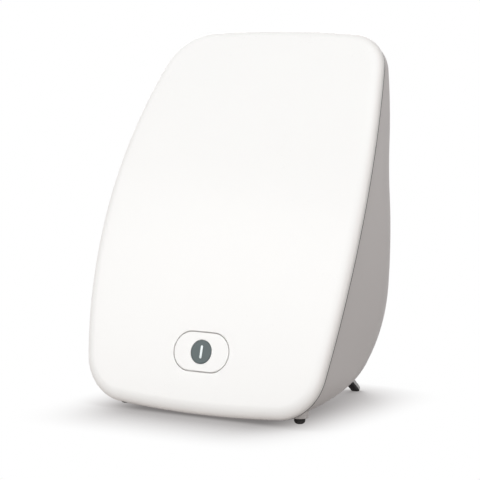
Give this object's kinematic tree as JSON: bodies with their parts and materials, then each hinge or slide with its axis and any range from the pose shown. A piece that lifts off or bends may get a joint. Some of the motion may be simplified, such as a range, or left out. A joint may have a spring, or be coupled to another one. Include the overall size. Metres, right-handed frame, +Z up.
{
  "type": "light therapy lamp",
  "caption": "Table-top light therapy lamp: white bowed light cover leaning on a grey wedge housing, pill-shaped push key, rubber feet and a fold-out rear stand.",
  "frame": {"origin": "on the table top, under the middle of the whole lamp with its stand folded out", "axes": "+Z up, the light shines towards -Y, +X to the right as seen from the front"},
  "size_m": [0.229, 0.164, 0.2866],
  "materials": {
    "cover_plastic": "glossy opal white",
    "housing_plastic": "fine satin grey",
    "inlay_plastic": "smooth dark grey",
    "window_plastic": "clear white",
    "inner_plastic": "matt white",
    "diffuser_plastic": "frosted",
    "circuit_board": "green solder mask",
    "light_board": "white solder mask",
    "black_plastic": "satin black",
    "rubber": "soft matt",
    "stand_plastic": "smooth light grey",
    "plate_film": "bare satin film",
    "nylon": "natural",
    "wire_sleeve": "smooth sleeve",
    "steel": "zinc plated",
    "aluminium_sheet": "mill finish",
    "capacitor_can": "sleeved can",
    "copper_coil": "enamelled winding"
  },
  "bodies": {
    "lamp": {"backplate_screw_1": "steel", "backplate_screw_2": "steel", "backplate_screw_3": "steel", "backplate_screw_4": "steel", "dc_inlet_nut": "steel", "dc_inlet_socket": "black_plastic", "diffuser_sheet": "diffuser_plastic", "driver_board": "circuit_board", "driver_capacitor_1": "capacitor_can", "driver_capacitor_2": "capacitor_can", "driver_heat_sink": "aluminium_sheet", "driver_inductor": "copper_coil", "driver_screw_1": "steel", "driver_screw_2": "steel", "driver_screw_3": "steel", "driver_screw_4": "steel", "front_cover": "cover_plastic", "front_foot_left": "rubber", "front_foot_right": "rubber", "hinge_pin_left": "steel", "hinge_pin_right": "steel", "housing_screw_1": "steel", "housing_screw_2": "steel", "housing_screw_3": "steel", "housing_screw_4": "steel", "inlet_connector": "nylon", "inlet_harness": "wire_sleeve", "key_guide": "inner_plastic", "key_guide_screw_1": "steel", "key_guide_screw_2": "steel", "led_backplate": "aluminium_sheet", "led_board_1": "light_board", "led_board_2": "light_board", "led_board_3": "light_board", "led_board_4": "light_board", "led_board_5": "light_board", "led_connector": "nylon", "led_harness": "wire_sleeve", "led_terminal": "nylon", "light_tray": "inner_plastic", "push_switch": "black_plastic", "rating_plate": "plate_film", "rear_housing": "housing_plastic", "stand_washer_left": "nylon", "stand_washer_right": "nylon", "switch_board": "circuit_board", "switch_connector": "nylon", "switch_harness": "wire_sleeve", "tray_screw_1": "steel", "tray_screw_2": "steel", "tray_screw_3": "steel", "tray_screw_4": "steel"},
    "key": {"on_off_key": "cover_plastic", "key_dot_inlay": "inlay_plastic", "key_bar_window": "window_plastic", "switch_plunger": "nylon"},
    "stand": {"stand": "stand_plastic", "stand_shoe_left": "rubber", "stand_shoe_right": "rubber"}
  },
  "joints": [
    {"name": "key_press", "type": "slide", "parent": "lamp", "child": "key", "axis": [0, 0.9633, -0.2686], "range_m": [0, 0.0015], "stiffness_N_per_m": 800, "springref_m": -0.0006},
    {"name": "stand_fold", "type": "hinge", "parent": "lamp", "child": "stand", "pos_m": [0, 0.02334, 0.046], "axis": [-1, 0, 0], "range_deg": [0, 110]}
  ]
}
